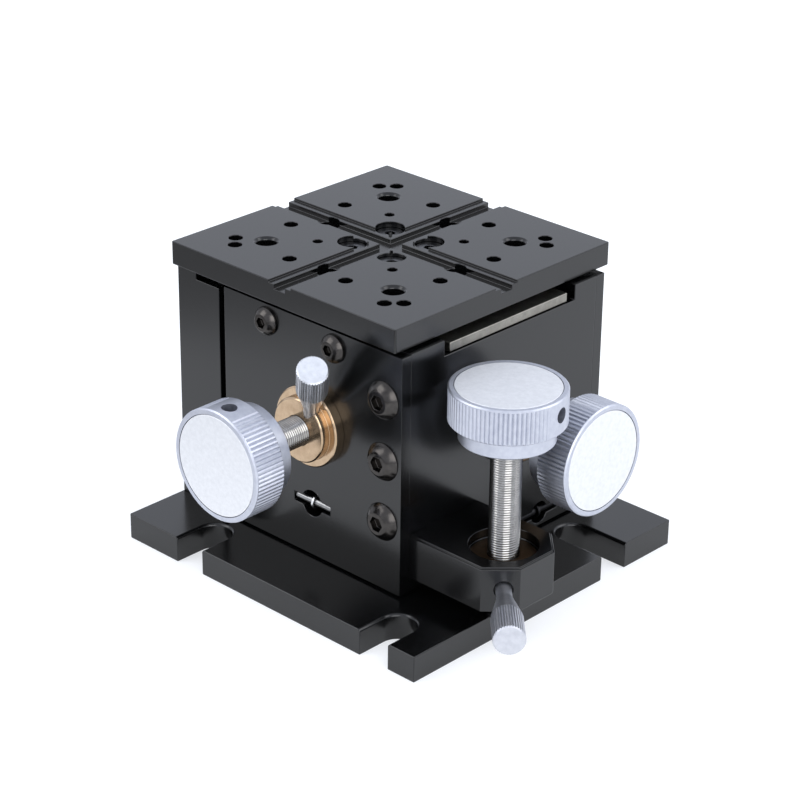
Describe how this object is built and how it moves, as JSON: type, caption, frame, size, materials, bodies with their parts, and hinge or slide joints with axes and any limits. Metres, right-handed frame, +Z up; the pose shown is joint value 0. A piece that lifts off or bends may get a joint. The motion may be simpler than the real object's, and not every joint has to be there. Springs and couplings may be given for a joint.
{
  "type": "fiber alignment stage",
  "caption": "Compact three-axis positioning stage with knurled screw knobs, a square grooved top plate with mounting holes and a slotted base plate.",
  "frame": {"origin": "on the underside of the base plate, below the middle of the top plate", "axes": "+Z up; +X towards the side with the lifting bracket; -Y towards the front knob"},
  "size_m": [0.097, 0.0856, 0.0601],
  "materials": {
    "black_anodised": "satin black anodised",
    "satin_aluminium": "clear anodised, satin",
    "brass": "turned",
    "screw_steel": "fine thread",
    "dark_steel": "glossy black oxide",
    "bright_steel": "bright",
    "ground_steel": "ground",
    "rail_steel": "hardened and ground",
    "cage_brass": "stamped",
    "spring_steel": "drawn wire"
  },
  "bodies": {
    "base": {"base_plate": "black_anodised", "fixed_post": "black_anodised", "post_screws": "dark_steel", "z_fixed_rails": "rail_steel", "z_anvil": "rail_steel", "z_spring_base_pin": "bright_steel", "z_return_spring": "spring_steel"},
    "lift_cages": {"z_cages": "cage_brass", "z_rollers": "rail_steel"},
    "lift_screw": {"z_drive_screw": "screw_steel", "z_ball_tip": "rail_steel", "z_knob": "satin_aluminium", "z_knob_disc": "satin_aluminium", "z_knob_set_screw": "dark_steel"},
    "riser": {"riser_body": "black_anodised", "front_cover_plate": "black_anodised", "back_plate": "black_anodised", "cover_screws_large": "dark_steel", "cover_screws_small": "dark_steel", "back_plate_screws": "dark_steel", "z_bracket": "black_anodised", "bracket_screws": "dark_steel", "z_bushing": "brass", "y_bushing": "brass", "x_bushing": "brass", "z_moving_rails": "rail_steel", "x_fixed_rails": "rail_steel", "y_spring_pin": "bright_steel", "x_spring_pin": "bright_steel", "z_spring_riser_pin": "bright_steel", "x_return_spring": "spring_steel", "y_return_spring": "spring_steel"},
    "x_tip": {"x_ball_tip": "rail_steel"},
    "x_screw": {"x_drive_screw": "screw_steel", "x_knob": "satin_aluminium", "x_knob_disc": "satin_aluminium", "x_knob_set_screw": "dark_steel"},
    "x_stage": {"cross_saddle": "ground_steel", "x_moving_rails": "rail_steel", "y_fixed_rails": "rail_steel", "x_pad": "rail_steel", "x_spring_post": "bright_steel"},
    "x_cage": {"x_cages": "cage_brass", "x_rollers": "rail_steel"},
    "y_tip": {"y_ball_tip": "rail_steel"},
    "y_screw": {"y_drive_screw": "screw_steel", "y_knob": "satin_aluminium", "y_knob_disc": "satin_aluminium", "y_knob_set_screw": "dark_steel"},
    "y_stage": {"y_carriage": "black_anodised", "y_moving_rails": "rail_steel", "top_plate": "black_anodised", "deck_cap_screws": "bright_steel", "y_pad": "rail_steel", "y_spring_post": "bright_steel"},
    "y_cage": {"y_cages": "cage_brass", "y_rollers": "rail_steel"},
    "y_lock": {"y_lock_screw": "bright_steel"},
    "z_lock": {"z_lock_screw": "bright_steel"}
  },
  "joints": [
    {"name": "z_knob_turn", "type": "hinge", "parent": "base", "child": "lift_screw", "pos_m": [0.0462, -0.01735, 0.03], "axis": [0, 0, -1], "range_deg": [0, 2160]},
    {"name": "z_slide", "type": "slide", "parent": "base", "child": "riser", "axis": [0, 0, 1], "range_m": [0, 0.003], "deforming": ["z_return_spring"]},
    {"name": "z_cage_slide", "type": "slide", "parent": "base", "child": "lift_cages", "axis": [0, 0, 1], "range_m": [0, 0.0015]},
    {"name": "x_screw_slide", "type": "slide", "parent": "riser", "child": "x_tip", "axis": [1, 0, 0], "range_m": [-0.0065, 0.0065]},
    {"name": "x_knob_turn", "type": "hinge", "parent": "x_tip", "child": "x_screw", "pos_m": [0.04, 0.0013, 0.0313], "axis": [1, 0, 0], "range_deg": [-4680, 4680]},
    {"name": "x_slide", "type": "slide", "parent": "riser", "child": "x_stage", "axis": [1, 0, 0], "range_m": [-0.0065, 0.0065], "deforming": ["x_return_spring"]},
    {"name": "x_cage_slide", "type": "slide", "parent": "riser", "child": "x_cage", "axis": [1, 0, 0], "range_m": [-0.00325, 0.00325]},
    {"name": "y_screw_slide", "type": "slide", "parent": "riser", "child": "y_tip", "axis": [0, 1, 0], "range_m": [-0.0065, 0.0065]},
    {"name": "y_knob_turn", "type": "hinge", "parent": "y_tip", "child": "y_screw", "pos_m": [0.0087, -0.04, 0.0341], "axis": [0, 1, 0], "range_deg": [-4680, 4680]},
    {"name": "y_slide", "type": "slide", "parent": "x_stage", "child": "y_stage", "axis": [0, 1, 0], "range_m": [-0.0065, 0.0065], "deforming": ["y_return_spring"]},
    {"name": "y_cage_slide", "type": "slide", "parent": "x_stage", "child": "y_cage", "axis": [0, 1, 0], "range_m": [-0.00325, 0.00325]},
    {"name": "y_lock_turn", "type": "hinge", "parent": "riser", "child": "y_lock", "pos_m": [0.0087, -0.0304, 0.0341], "axis": [0.4454, -0.4104, 0.7957], "range_deg": [-60, 300]},
    {"name": "z_lock_turn", "type": "hinge", "parent": "riser", "child": "z_lock", "pos_m": [0.04588, -0.01767, 0.0135], "axis": [0.7071, -0.7071, 0], "range_deg": [-60, 300]}
  ],
  "couplings": [
    {"joint": "z_knob_turn", "follows": "z_slide", "rad_per_m": 12566},
    {"joint": "z_cage_slide", "follows": "z_slide", "ratio": 0.5},
    {"joint": "x_screw_slide", "follows": "x_slide", "ratio": 1},
    {"joint": "x_knob_turn", "follows": "x_slide", "rad_per_m": 12566},
    {"joint": "x_cage_slide", "follows": "x_slide", "ratio": 0.5},
    {"joint": "y_screw_slide", "follows": "y_slide", "ratio": 1},
    {"joint": "y_knob_turn", "follows": "y_slide", "rad_per_m": 12566},
    {"joint": "y_cage_slide", "follows": "y_slide", "ratio": 0.5}
  ]
}
